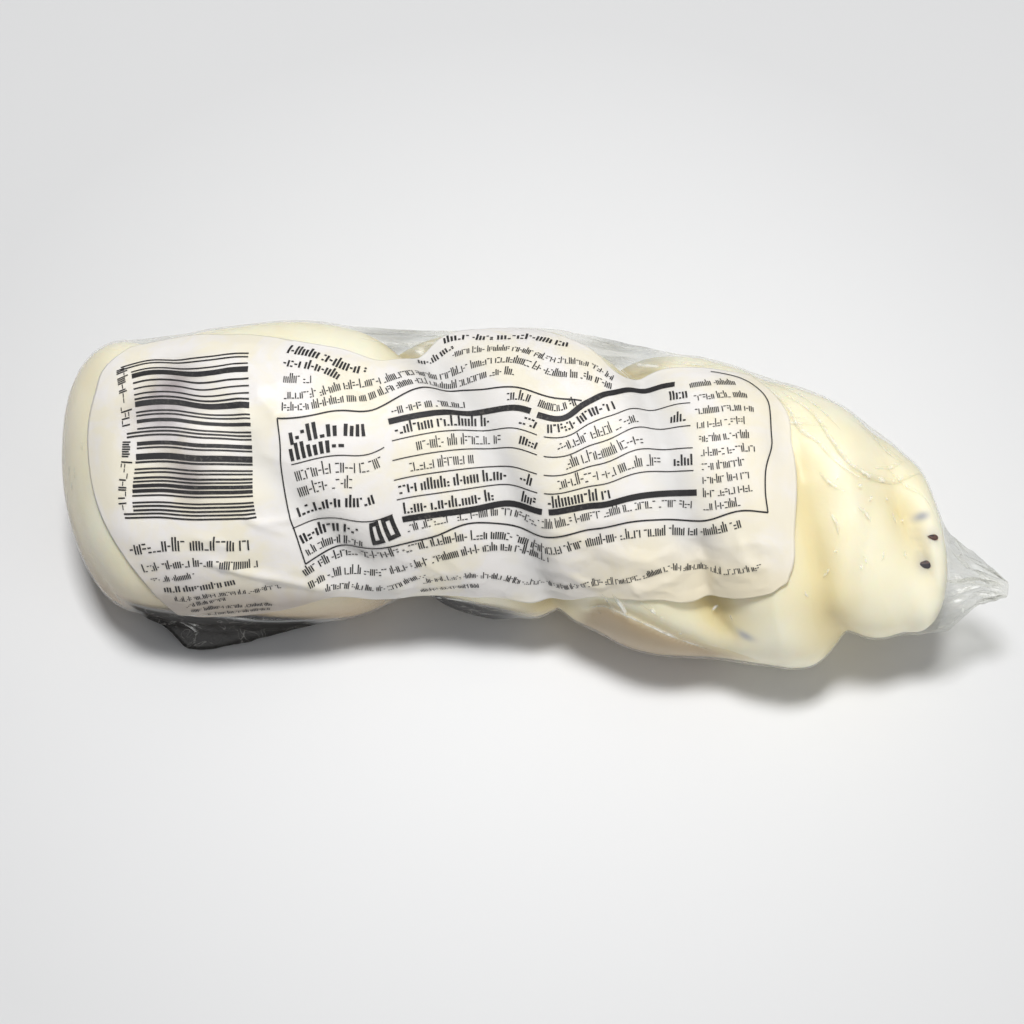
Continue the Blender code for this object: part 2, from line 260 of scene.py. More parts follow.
# folds and wrinkles, as heights in mm over the smooth shape: path as (X, degrees), height, width
labelFolds = [
    ([(-54.2, 129.5), (-46.8, 135.6), (-39.1, 141), (-33.7, 146.3), (-27, 153)], 0.85, 0.7),
    ([(-48.6, 108.5), (-45.8, 113.9), (-42.3, 114.4), (-38.7, 113.6), (-35, 111.8)], 0.7, 0.6),
    ([(-46.3, 115.6), (-42.5, 117.5), (-39.6, 121.1)], 0.45, 0.6),
    ([(-58, 118), (-53, 121), (-48, 126)], 0.3, 0.9),
    ([(19.5, 128), (21.5, 132.7), (23.4, 137.3)], 0.6, 0.6),
    ([(29.5, 110), (32, 116.5), (34, 121), (36.7, 128)], 0.95, 0.8),
    ([(38.5, 108), (41, 112), (44.4, 110.4)], 0.6, 0.8),
    ([(36.5, 96), (38.5, 104), (38, 112)], 0.5, 0.9),
    ([(12, 116), (17, 119), (22, 118), (27, 122)], 0.4, 1),
    ([(-48.8, 44.2), (-47.5, 54.6), (-44.3, 63.5), (-44.3, 70.8)], 0.4, 1),
    ([(-52.5, 52), (-50, 60), (-49, 72)], 0.3, 1),
    ([(-33, 50), (-29.5, 54), (-26.5, 61)], -0.5, 0.9),
]
filmFolds = [
    ([(43.9, 20.7), (48.6, 27.4), (53, 41), (55.5, 46.8), (59.1, 47.1), (63.1, 41), (67.3, 30)], 0.45, 1.5),
    ([(36, 15.8), (41.2, 20.7), (46.1, 32), (49.8, 39.2), (54.7, 48), (60.4, 46)], 0.35, 1.4),
    ([(21, 143), (23, 148), (25.5, 152)], 0.4, 0.5),
    ([(14, 146), (17.5, 150), (19.5, 155)], 0.4, 0.5),
    ([(-36, 148), (-28.6, 154.3), (-23.1, 167.4), (-19.7, 186), (-14, 166.5), (-8.8, 174.6)], 0.7, 0.7),
]
strandLine = [(12.6, 154.1), (16, 147), (19, 146), (24, 149), (30, 157), (36, 168), (44.4, 168)]
strandFolds = [
    (strandLine, -1.3, 1.5),
    ([(31, 100), (33, 121.4), (34, 142.2), (37, 152.9), (40.9, 157.5)], -1.3, 2),
]
foldShape = {
    "proud": 0.3, "step": 0.4, "taper": 3.0,  # mm: its path over the film, the path's steps, its ends
    "mmPerDegree": 0.4,
    "power": 1.5,  # 2 has a rounder ridge, 1 a sharp one
}


def lengthAlong(steps):
    return np.concatenate([[0], np.cumsum(steps)])


def curvesAlong(length, *sides):
    # a path's coordinates as smooth functions of the length along it
    return [curveThrough(np.stack([length, side], axis=1)) for side in sides]


def foldPath(path):
    # the path of a fold over the film, as close-set points in mm, and a weight that tapers its two ends
    x, degrees = np.array(path, float).T
    along = lengthAlong(np.hypot(np.diff(x), np.diff(degrees) * foldShape["mmPerDegree"]))
    at = np.linspace(0, along[-1], max(4, int(along[-1] / foldShape["step"])))
    x, degrees = [curve(at) for curve in curvesAlong(along, x, degrees)]
    angle = np.radians(degrees)
    points = setDown(sectionPoint(x, angle, filmReach(x, angle) + foldShape["proud"]))
    return points, np.clip(np.minimum(at, along[-1] - at) / foldShape["taper"], 0, 1)


def foldHeight(points, folds):
    height = np.zeros(len(points))
    for path, rise, width in folds:
        line, weight = foldPath(path)
        far = 4 * width + 1
        inside = np.all(points > line.min(0) - far, axis=1) & np.all(points < line.max(0) + far, axis=1)
        near = np.nonzero(inside)[0]
        if not len(near):
            continue
        start, way = line[:-1], np.diff(line, axis=0)
        rel = points[near][:, None, :] - start[None]
        t = np.clip((rel * way).sum(2) / (way**2).sum(1), 0, 1)
        gap = np.linalg.norm(rel - t[..., None] * way, axis=2)
        best = gap.argmin(1)
        rows = np.arange(len(near))
        strength = weight[best] * (1 - t[rows, best]) + weight[best + 1] * t[rows, best]
        height[near] += rise * strength * np.exp(-((gap[rows, best] / width) ** foldShape["power"]))
    return height


def noiseAt(points, size, seed):
    # smooth noise between about -1 and 1, its lumps about so many mm across
    offset = Vector((seed * 17.3, seed * 5.1, seed * 9.7))
    scaled = points / np.array(size, float)
    return np.array([noise.noise(Vector(p) + offset) for p in scaled.tolist()])


def crumple(points, size, seed):
    # paper-like facets: sharp ridges with smooth hollows between them
    fine = noiseAt(points, np.array(size) * 0.47, seed + 3)
    return 1 - 2 * np.abs(noiseAt(points, size, seed)) - 0.6 * np.abs(fine)


def linearColour(code):
    parts = [int(code[i : i + 2], 16) / 255 for i in (1, 3, 5)]
    return tuple(c / 12.92 if c <= 0.04045 else ((c + 0.055) / 1.055) ** 2.4 for c in parts) + (1.0,)


def addNode(tree, kind, inputs=None, **settings):
    # an input is a number, a hex colour, another node's output, or a node for the first of its outputs in use
    # a Map Range takes from low, from high, to low and to high as 1 to 4; a Mix takes its colours as 6 and 7
    node = tree.nodes.new("ShaderNode" + kind)
    for name, value in settings.items():
        setattr(node, name, value)
    for name, value in (inputs or {}).items():
        if isinstance(value, bpy.types.Node):
            value = next(output for output in value.outputs if output.enabled)
        if isinstance(value, bpy.types.NodeSocket):
            tree.links.new(value, node.inputs[name])
        else:
            node.inputs[name].default_value = linearColour(value) if isinstance(value, str) else value
    return node


def newMaterial(name, *attributes):
    # the material, what adds its nodes, the place on the piece, and the piece's own numbers of these names
    material = bpy.data.materials.new(name)
    material.use_nodes = True
    material.node_tree.nodes.clear()
    add = partial(addNode, material.node_tree)
    numbers = [add("Attribute", attribute_name=each).outputs["Fac"] for each in attributes]
    return material, add, add("TexCoord").outputs["Object"], *numbers


cheeseLook = {
    "face": "#FAF4DF",  # pale stretched curd
    "blotch": "#F6EED1",
    # painted shade: deeper yellow in the grooves between the ropes
    "groove": "#ECDFB4",
    "deepGroove": "#E2D19E",
    "paintedShade": "#AA9270",  # painted shade: darker and browner at the left end, underneath and below the lower strand
    "halo": "#A9ABB4",  # a seed just under the surface
    "blotchSize": 14.0,  # mm
    "poreSize": 0.9,
}


def makeCheeseMaterial():
    # low-moisture stretched-curd cheese, kneaded and pulled: dense, smooth and slightly waxy, light sinks in
    material, add, place, groove, halo, paintedShade = newMaterial("stretchedCurdCheese", "groove", "halo", "paintedShade")
    blotch = add("TexNoise", {"Vector": place, "Scale": 1000 / cheeseLook["blotchSize"], "Detail": 3.0})
    pores = add("TexNoise", {"Vector": place, "Scale": 1000 / cheeseLook["poreSize"]})
    patchy = add("MapRange", {0: blotch, 1: 0.42, 2: 0.66})
    # painted shade in the grooves
    grooveShadeShare = add("MapRange", {0: groove, 1: 0.15, 2: 0.7})
    deepGrooveShadeShare = add("MapRange", {0: groove, 1: 0.65})
    shares = {"blotch": patchy, "groove": grooveShadeShare, "deepGroove": deepGrooveShadeShare, "paintedShade": paintedShade, "halo": halo}
    colour = cheeseLook["face"]
    for tone, share in shares.items():
        colour = add("Mix", {0: share, 6: colour, 7: cheeseLook[tone]}, data_type="RGBA")
    bump = add("Bump", {"Strength": 0.12, "Distance": 0.0003, "Height": pores})
    curd = add("BsdfPrincipled", {
        "Base Color": colour, "Normal": bump, "Roughness": 0.42, "IOR": 1.45,
        "Subsurface Weight": 0.35, "Subsurface Radius": (1.0, 0.76, 0.46), "Subsurface Scale": 0.0035,
    })
    add("OutputMaterial", {"Surface": curd})
    return material


filmLook = {
    "clear": "#FCFCFA",
    "grey": "#CDCFCE",  # where it stands off the cheese
    "haze": "#F4F5F5",  # white streaks where it stands free: partly stretched film, partly painted highlight
    "shade": "#2C2A28",  # painted shadow in the folded-out corner and below the label's notch, where the floor's shadow lies behind the film
    # painted crease highlights on the corner's painted shadow
    "scribble": "#B9B7B1",
    "wrinkleSize": 3.2,  # mm
    "streakSize": 2.6,
    "scribbleSize": 6.0,
    "hazeAndHighlightShare": 0.26,
    "paintedShadowShare": 0.88,
    "glint": 0.04,  # the least share of light that it mirrors
}


def makeFilmMaterial():
    # clear polyolefin shrink film, drawn tight with heat: mirror-like where smooth, fine creases catch the light
    material, add, place, slack, paintedShadow = newMaterial("shrinkFilm", "slack", "paintedShadow")
    stretched = add("Mapping", {"Vector": place, "Scale": (0.12, 1.0, 1.0)})
    streaks = add("TexNoise", {
        "Vector": stretched, "Scale": 1000 / filmLook["streakSize"], "Detail": 2.5, "Distortion": 0.4,
    })
    streaky = add("MapRange", {0: streaks, 1: 0.36, 2: 0.64, 3: 0.25})
    hazy = add("Math", {0: slack, 1: streaky}, operation="MULTIPLY")
    through = add("Mix", {0: hazy, 6: filmLook["clear"], 7: filmLook["grey"]}, data_type="RGBA")
    # thin pale lines where the noise crosses its middle: painted crease highlights over the corner's painted shadow
    loops = add("TexNoise", {
        "Vector": place, "Scale": 1000 / filmLook["scribbleSize"], "Detail": 1.5, "Distortion": 1.6,
    })
    offMiddle = add("Math", {0: loops, 1: 0.5}, operation="SUBTRACT")
    gap = add("Math", {0: offMiddle}, operation="ABSOLUTE")
    scribble = add("MapRange", {0: gap, 2: 0.012, 3: 0.35, 4: 0.0})
    paintedShadowColour = add("Mix", {0: scribble, 6: filmLook["shade"], 7: filmLook["scribble"]}, data_type="RGBA")
    hazeAndPaintedShadowColour = add("Mix", {0: paintedShadow, 6: filmLook["haze"], 7: paintedShadowColour}, data_type="RGBA")
    # white streaks where the film stands free: partly haze, partly painted highlight
    hazeAndHighlightShare = add("Math", {0: hazy, 1: filmLook["hazeAndHighlightShare"]}, operation="MULTIPLY")
    # painted shadow in the corner and below the notch
    paintedShadowShare = add("Math", {0: paintedShadow, 1: filmLook["paintedShadowShare"]}, operation="MULTIPLY")
    haze = add("Math", {0: hazeAndHighlightShare, 1: paintedShadowShare}, operation="MAXIMUM")
    wrinkles = add("TexNoise", {"Vector": place, "Scale": 1000 / filmLook["wrinkleSize"], "Distortion": 0.8})
    tallness = add("MapRange", {0: slack, 2: 0.6, 3: 0.2, 4: 0.6})
    bump = add("Bump", {"Distance": 0.0004, "Height": wrinkles, "Strength": tallness})
    clear = add("BsdfTransparent", {"Color": through})
    milky = add("BsdfDiffuse", {"Color": hazeAndPaintedShadowColour, "Normal": bump})
    # duller where it is pressed on the soft cheese, mirror-like where it stands free
    dull = add("MapRange", {0: slack, 2: 0.4, 3: 0.33, 4: 0.22})
    shine = add("BsdfGlossy", {"Color": "#FFFFFF", "Normal": bump, "Roughness": dull})
    facing = add("LayerWeight", {"Normal": bump}).outputs["Facing"]
    grazing = add("Math", {0: facing, 1: 5.0}, operation="POWER")
    shiniest = add("MapRange", {0: paintedShadow, 3: 0.5, 4: 0.12})
    glint = add("MapRange", {0: grazing, 3: filmLook["glint"], 4: shiniest})
    sheet = add("MixShader", {0: haze, 1: clear, 2: milky})
    film = add("MixShader", {0: glint, 1: sheet, 2: shine})
    add("OutputMaterial", {"Surface": film})
    return material


creaseLook = {"clear": "#FAFAF8", "shaded": "#C9C6BC", "white": "#FBFBF8", "breakSize": 1.7}


def makeCreaseMaterial():
    # the same film where it is pinched double: stretched white along the ridge, partly a painted highlight, with
    # painted shade along one edge, clear again between
    material, add, place, strength, shade = newMaterial("pinchedFilmAndPaintedHighlight", "strength", "shade")
    broken = add("TexNoise", {"Vector": place, "Scale": 1000 / creaseLook["breakSize"]})
    uneven = add("MapRange", {0: broken, 1: 0.4, 2: 0.62, 3: 0.15})
    share = add("Math", {0: strength, 1: uneven}, operation="MULTIPLY")
    edge = add("Mix", {0: shade, 6: creaseLook["clear"], 7: creaseLook["shaded"]}, data_type="RGBA")
    clear = add("BsdfTransparent", {"Color": edge})
    white = add("BsdfPrincipled", {"Base Color": creaseLook["white"], "Roughness": 0.22, "IOR": 1.5})
    film = add("MixShader", {0: share, 1: clear, 2: white})
    add("OutputMaterial", {"Surface": film})
    return material


labelLook = {
    "white": "#F1ECE6",
    "warm": "#F2EAD4",  # where it lies on the cheese
    "paintedSpanShade": "#DEDBD6",  # painted shade where it spans a groove
    "clearer": "#E9DCBC",  # where the cheese shows through it, at the lower right
    "paintedShade": "#9F9184",  # painted shade where it turns under at the lower left
    "smudge": "#83777C",  # seeds that show through it
    "mottleSize": 11.0,  # mm
    "grainSize": 0.5,
}


def makeLabelMaterial():
    # white polypropylene label film, printed and satin: slightly see-through where it lies on the cheese
    material, add, place, lift, smudge, paintedShade, clearer = newMaterial(
        "whiteLabelFilm", "lift", "smudge", "paintedShade", "clearer"
    )
    mottle = add("TexNoise", {
        "Vector": place, "Scale": 1000 / labelLook["mottleSize"], "Detail": 4.0, "Roughness": 0.6, "Distortion": 0.5,
    })
    touching = add("MapRange", {0: mottle, 1: 0.44, 2: 0.6})
    # painted shade where the label spans a groove
    spanShadeShare = add("MapRange", {0: lift, 1: 0.15, 2: 0.9})
    patchy = add("MapRange", {0: mottle, 1: 0.3, 2: 0.7, 3: 0.5, 4: 1.1})
    blurred = add("Math", {0: smudge, 1: patchy}, operation="MULTIPLY")
    shares = {"warm": touching, "paintedSpanShade": spanShadeShare, "clearer": clearer, "paintedShade": paintedShade, "smudge": blurred}
    colour = labelLook["white"]
    for tone, share in shares.items():
        colour = add("Mix", {0: share, 6: colour, 7: labelLook[tone]}, data_type="RGBA")
    grain = add("TexNoise", {"Vector": place, "Scale": 1000 / labelLook["grainSize"]})
    bump = add("Bump", {"Strength": 0.1, "Distance": 0.0001, "Height": grain})
    sheet = add("BsdfPrincipled", {
        "Base Color": colour, "Normal": bump, "Roughness": 0.38, "IOR": 1.49,
        "Subsurface Weight": 0.2, "Subsurface Radius": (1.0, 0.9, 0.75), "Subsurface Scale": 0.0015,
    })
    add("OutputMaterial", {"Surface": sheet})
    return material


inkLook = {"black": "#2B2A2B", "worn": "#56534F", "speckSize": 0.55, "wearSize": 12.0}


def makeInkMaterial():
    # black flexographic ink on film: matt, with pinholes where the film creased after printing
    material, add, place = newMaterial("blackPrintInk")
    specks = add("TexNoise", {"Vector": place, "Scale": 1000 / inkLook["speckSize"], "Roughness": 0.7})
    wide = add("TexNoise", {"Vector": place, "Scale": 1000 / inkLook["wearSize"]})
    pinholes = add("MapRange", {0: specks, 1: 0.52, 2: 0.7})
    areas = add("MapRange", {0: wide, 1: 0.4, 2: 0.65})
    worn = add("Math", {0: pinholes, 1: areas}, operation="MULTIPLY")
    colour = add("Mix", {0: worn, 6: inkLook["black"], 7: inkLook["worn"]}, data_type="RGBA")
    ink = add("BsdfPrincipled", {"Base Color": colour, "Roughness": 0.5, "IOR": 1.5})
    add("OutputMaterial", {"Surface": ink})
    return material


seedLook = {"black": "#23232B", "brown": "#5E4640", "dust": "#6B6566", "pitSize": 0.35}


def makeSeedMaterial():
    # black nigella-like seeds: matt, finely pitted, brown where the coat is thin
    material, add, place, brown = newMaterial("darkSeedCoat", "brown")
    pits = add("TexNoise", {"Vector": place, "Scale": 1000 / seedLook["pitSize"]})
    inPits = add("MapRange", {0: pits, 1: 0.5, 2: 0.7, 4: 0.3})
    colour = seedLook["black"]
    for tone, share in {"brown": brown, "dust": inPits}.items():
        colour = add("Mix", {0: share, 6: colour, 7: seedLook[tone]}, data_type="RGBA")
    bump = add("Bump", {"Strength": 0.3, "Distance": 0.0001, "Height": pits})
    coat = add("BsdfPrincipled", {"Base Color": colour, "Normal": bump, "Roughness": 0.45, "IOR": 1.5})
    add("OutputMaterial", {"Surface": coat})
    return material


def addObject(name, data):
    made = bpy.data.objects.new(name, data)
    bpy.context.scene.collection.objects.link(made)
    return made


def addPiece(name, builder, material):
    # a bmesh becomes an object of its own
    mesh = bpy.data.meshes.new(name)
    builder.to_mesh(mesh)
    builder.free()
    mesh.materials.append(material)
    return addObject(name, mesh)


def finishPiece(name, builder, material, node, numbers=None):
    # the object is shaded smooth, keeps its numbers for its material, and rides on the pack
    piece = addPiece(name, builder, material)
    piece.data.shade_smooth()
    for label, values in (numbers or {}).items():
        values = np.asarray(values, np.float32)
        piece.data.attributes.new(label, "FLOAT", "POINT").data.foreach_set("value", values)
    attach(piece, "root")
    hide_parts(node)
    return piece


def moveVertices(builder, points):
    for vertex, point in zip(builder.verts, (points * millimetre).tolist()):
        vertex.co = point


def flatPlaces(vertices):
    return np.array([vertex.co[:2] for vertex in vertices]).T


def ballAround(faces, right):
    # a sphere and the place on the pack for each of its vertices: its height gives X, its turn the angle round
    ball = bmesh.new()
    bmesh.ops.create_uvsphere(ball, u_segments=faces["round"], v_segments=faces["along"], radius=1.0)
    co = np.array([vertex.co for vertex in ball.verts])
    share = np.arccos(np.clip(-co[:, 2], -1, 1)) / math.pi
    angle = np.arctan2(co[:, 1], co[:, 0]) % (2 * math.pi)
    pole = (share < 1e-4) | (share > 1 - 1e-4)
    return ball, station(share, right), angle, pole


def surfacePoint(x, angle, reach):
    # a point of one of the surfaces, in mm
    x, angle = np.float64(x), np.float64(angle)
    return Vector(setDown(sectionPoint(x, angle, reach(x, angle))))


def surfaceFrame(x, degrees, reach, turn):
    # the place and the axes of the surface there: along X, turned by some degrees, and outwards
    angle = math.radians(degrees)
    along = (surfacePoint(x + 0.4, angle, reach) - surfacePoint(x - 0.4, angle, reach)).normalized()
    across = surfacePoint(x, angle + 0.02, reach) - surfacePoint(x, angle - 0.02, reach)
    outward = across.cross(along).normalized()
    return surfacePoint(x, angle, reach), Matrix.Rotation(math.radians(turn), 3, outward) @ along, outward


def nearTo(points, x, degrees, reach, size):
    # 1 at a place on the surface, fading over so many mm
    here = np.array(surfacePoint(x, math.radians(degrees), reach))
    return np.exp(-((np.linalg.norm(points - here, axis=1) / size) ** 2))


seedShape = {
    "length": 2.7, "width": 1.5, "height": 0.9,  # mm
    "rise": 0.3,  # mm proud of the cheese
    "point": 0.12,  # how wide its narrow end is
    "bump": 0.2,  # mm that it presses the film out
}
# X, degrees, turn, size, how brown
shownSeeds = [(72, 57.5, 50, 0.78, 1), (71.2, 94, 46, 1.08, 0.1)]
# X, degrees, turn, strength, across and along in mm
sunkSeeds = [(69.7, 52.3, 52, 1, 0.8, 1.7), (40.9, 150.9, 0, 1.1, 0.8, 1.8)]
guessedSeeds = {"count": 30, "left": -79.0, "length": 149.0, "turnEach": 137.508, "firstTurn": 40, "back": (196, 344)}


def seedPlaces():
    # the seeds that show, and guessed ones on the back only
    places = list(shownSeeds)
    low, high = guessedSeeds["back"]
    for count in range(guessedSeeds["count"]):
        x = guessedSeeds["left"] + guessedSeeds["length"] * (count + 0.5) / guessedSeeds["count"]
        degrees = (guessedSeeds["turnEach"] * count + guessedSeeds["firstTurn"]) % 360
        if low < degrees < high:
            places.append((x, degrees, (count * 71) % 180, 0.9 + 0.25 * ((count * 37) % 10) / 10, (count % 3) / 3))
    return places


def buildSeeds(material):
    seeds = bmesh.new()
    brown = []
    for x, degrees, turn, size, brownness in seedPlaces():
        here, along, outward = surfaceFrame(x, degrees, cheeseReach, turn)
        if here.z < 3:
            continue  # on the flat that the pack rests on
        coat = bmesh.ops.create_uvsphere(seeds, u_segments=16, v_segments=10, radius=1.0)["verts"]
        for vertex in coat:
            # a drop: pointed at the end that lies towards -X
            narrow = min(1.0, seedShape["point"] + 1.25 * ((vertex.co.x + 1) / 2) ** 0.8)
            vertex.co.y *= narrow
            vertex.co.z *= narrow
        turned = Matrix((along, outward.cross(along), outward)).transposed().to_4x4()
        scale = Matrix.Diagonal([size * seedShape[side] / 2 for side in ("length", "width", "height")] + [1])
        spot = here - outward * (seedShape["height"] / 2 - seedShape["rise"])
        whole = Matrix.Scale(millimetre, 4) @ Matrix.Translation(spot) @ turned @ scale
        bmesh.ops.transform(seeds, matrix=whole, verts=coat)
        brown += [brownness] * len(coat)
    print(f"seeds: {len(brown) // len(coat)}")
    finishPiece("seeds", seeds, material, "cheese_pack", {"brown": brown})


cheeseShape = {
    "round": 260, "along": 280,  # faces
    "gap": 0.28,  # mm below the film
    "clear": 0.35,  # mm above the floor
    "lumps": [((22, 12, 12), 2, 0.15), ((7, 4, 4), 5, 0.072)],  # size, seed and height, from kneading
}
# where the film stands away from the ropes, behind its folded-out corner and beside the label's hump
tucks = [(-52, 180, 10, 22, 1.6), (9, 2, 5, 17, 2.2)]
# X, degrees, half width, depth
dimples = [(-79.5, 46.8, 5, 1), (-77.5, 118, 7, 0.7), (58, 62, 5, 0.5), (53, 70, 4, 0.6)]
# painted shade at the left end and underneath: strength, fades in X, fades in degrees
paintedShadePatches = [
    (0.3, [(-74, -86)], []),
    (0.65, [(0, -45)], [(130, 168), (260, 230)]),
    (0.45, [(50, 10)], [(150, 176), (260, 230)]),
]


def seedHalos(points):
    # the grey shadow of a seed under the surface, and the faint one round a seed that shows
    halo = np.zeros(len(points))
    for x, degrees, turn, strength, across, along in sunkSeeds:
        here, way, outward = surfaceFrame(x, degrees, cheeseReach, turn)
        rel = points - np.array(here)
        lengthwise = rel @ np.array(way)
        off = np.linalg.norm(rel, axis=1) ** 2 - lengthwise**2
        halo += strength * np.exp(-((lengthwise / along) ** 2) - off / across**2)
    for x, degrees, turn, size, brownness in shownSeeds:
        halo += 0.4 * nearTo(points, x, degrees, cheeseReach, 1.9)
    return np.clip(halo, 0, 1)


def buildCheese(material):
    ball, x, angle, pole = ballAround(cheeseShape, packShape["cheeseRight"])
    reach = cheeseReach(x, angle)
    smooth = setDown(sectionPoint(x, angle, reach), 0.3)
    strand = foldHeight(smooth, strandFolds)
    reach = reach + strand - cheeseShape["gap"] - swells(x, angle, tucks)
    for size, seed, height in cheeseShape["lumps"]:
        reach += height * noiseAt(smooth, size, seed)
    for atX, degrees, across, depth in dimples:
        reach -= depth * nearTo(smooth, atX, degrees, cheeseReach, across)
    reach = np.where(pole, 0.0, np.maximum(reach, 0.0))
    points = setDown(sectionPoint(x, angle, reach), cheeseShape["clear"])
    moveVertices(ball, points)
    # painted shade in the grooves, deeper in the last one and along the strand line
    depth = grooveDepth(x) * grooveAt(x, angle) * endClosing(x) / 5.8
    depth = depth * (1 + 0.6 * lastGroove(x, angle)) - 0.3 * strand
    degrees = np.degrees(angle)
    # painted shade on the lower strand, below the strand line
    belowStrand = fade(degrees - curveThrough(strandLine)(x), (0, 4)) * fade(degrees, (240, 215))
    paintedShade = patches(x, degrees, paintedShadePatches) + 0.95 * belowStrand * fade(x, (10, 15), (46, 32))
    numbers = {"groove": depth, "halo": seedHalos(points), "paintedShade": np.clip(paintedShade, 0, 0.9)}
    finishPiece("cheese", ball, material, "cheese_pack", numbers)


filmShape = {
    "round": 310, "along": 310,  # faces
    "clear": 0.1,  # mm above the cheese, at the least
    "slackFrom": 0.4, "slackOver": 2.5,  # mm off the cheese
    "pleats": (72.5, 78), "tip": (87, 84),
    "streaks": 0.4, "cornerCreases": 0.4,
}
# a loose fold hangs below the label's notch
looseFold = [(-10, 181, 10, 9, 1.9)]


def filmRelief(points, x, angle, slack):
    degrees = np.degrees(angle) % 360
    height = foldHeight(points, filmFolds + strandFolds) + swells(x, angle, looseFold, 4)
    # the gathered tail: sharp pleats that fan out from its tip
    fan = np.stack([x / 7, np.cos(angle) * 2.6, np.sin(angle) * 2.6 + x / 30], axis=-1)
    tall = fade(x, filmShape["pleats"]) * (0.25 + 0.65 * fade(x, filmShape["tip"]))
    height += tall * (crumple(fan, 1, 4) - 0.1)
    # where it spans a groove it is drawn into streaks along the pack
    height += filmShape["streaks"] * slack * (crumple(points, (26, 3.4, 3.4), 7) - 0.6)
    # the folded-out corner has crossing creases
    corner = np.clip(cornerHeight(x) / 5, 0, 1) * np.clip(1 - np.abs(degrees - packShape["cornerDegrees"]) / 20, 0, 1)
    height += filmShape["cornerCreases"] * corner * (crumple(points, (6, 4, 4), 9) - 0.2)
    for atX, atDegrees, turn, size, brownness in seedPlaces():
        height += seedShape["bump"] * nearTo(points, atX, atDegrees, filmReach, 1.1)
    return height


def creasedFilm(x, angle, proud=0.0):
    # how far out the film lies with its folds and wrinkles, and how slack it is, from 0 on the cheese to 1
    reach = filmReach(x, angle)
    right = packShape["cheeseRight"]
    inside = np.where(x < right, cheeseReach(np.minimum(x, right), angle), 0.0)
    slack = np.clip((reach - inside - filmShape["slackFrom"]) / filmShape["slackOver"], 0, 1)
    reach = reach + filmRelief(setDown(sectionPoint(x, angle, reach)), x, angle, slack)
    return np.maximum(reach, np.where(inside > 0, inside + filmShape["clear"], 0.3)) + proud, slack


def buildFilm(material):
    ball, x, angle, pole = ballAround(filmShape, packShape["tailTip"])
    reach, slack = creasedFilm(x, angle)
    moveVertices(ball, setDown(sectionPoint(x, angle, np.where(pole, 0.0, reach))))
    # painted shadow: dark in the folded-out corner and below the label's notch
    degrees = np.degrees(angle)
    below = degrees - 155 - 11 * fade(x, (-56, -42))
    corner = np.clip(cornerHeight(x) / 1.6, 0, 1) * fade(below, (0, 5)) * fade(degrees, (214, 200))
    below = degrees - 161 - 3 * fade(x, (-10, 0))
    underNotch = np.exp(-(((x + 10) / 13) ** 4)) * fade(below, (0, 2)) * fade(degrees, (200, 188))
    numbers = {
        "slack": slack * (1 - 0.55 * fade(x, (73, 78))),
        "paintedShadow": np.clip(corner + 0.95 * underNotch, 0, 1),
    }
    finishPiece("film", ball, material, "cheese_pack", numbers)


# the creases that show as white lines: path as (X, degrees), width, height, strength
shownCreases = [
    ([(42.5, 18.5), (45.5, 23), (48.6, 28), (53, 41), (55.5, 46.8), (59.1, 48), (63.1, 42), (67.3, 30),
      (69.8, 18)], 1.1, 0.15, 0.7),
    ([(36.2, 15.8), (41.2, 21.5), (44.4, 28), (46.8, 36.9), (49.8, 41.2), (53, 47.5), (57, 51.5),
      (61.4, 48)], 0.9, 0.12, 0.6),
    ([(40, 10), (45, 16), (50, 24), (54, 33)], 0.7, 0.1, 0.5),
    ([(60, 42), (63, 34), (66, 22)], 0.7, 0.1, 0.5),
    ([(50.5, 55), (53, 60), (55.5, 62)], 1, 0.2, 0.7),
    ([(53, 74), (54.5, 80), (55, 86)], 0.9, 0.2, 0.6),
    ([(57.5, 68), (59.5, 71), (60.5, 76)], 0.9, 0.2, 0.6),
    ([(-33, 148.5), (-28.6, 153), (-23.1, 162.4), (-20.5, 172)], 0.7, 0.3, 0.9),
    ([(-17.5, 174), (-14, 163.5), (-9.6, 160), (-4, 161)], 0.6, 0.3, 0.8),
    ([(12.6, 153), (16, 145.5), (19, 144.6), (24, 147.4), (30, 155), (36, 164)], 0.8, 0.2, 0.9),
    ([(17, 137), (19.5, 142.5), (20.5, 147)], 1.3, 0.25, 1),
    ([(15, 139), (17.5, 144), (17.8, 148)], 1.1, 0.25, 0.9),
    ([(22, 137), (24.5, 140), (25.5, 143)], 1, 0.25, 0.9),
    ([(-65, 168), (-60, 160), (-54, 158), (-47, 163), (-40, 165)], 0.6, 0.25, 0.6),
    ([(-61.5, 171), (-60, 178), (-58, 182), (-59, 187)], 1, 0.3, 0.8),
    ([(-58.5, 166), (-57, 174), (-58.3, 180)], 0.9, 0.3, 0.8),
]
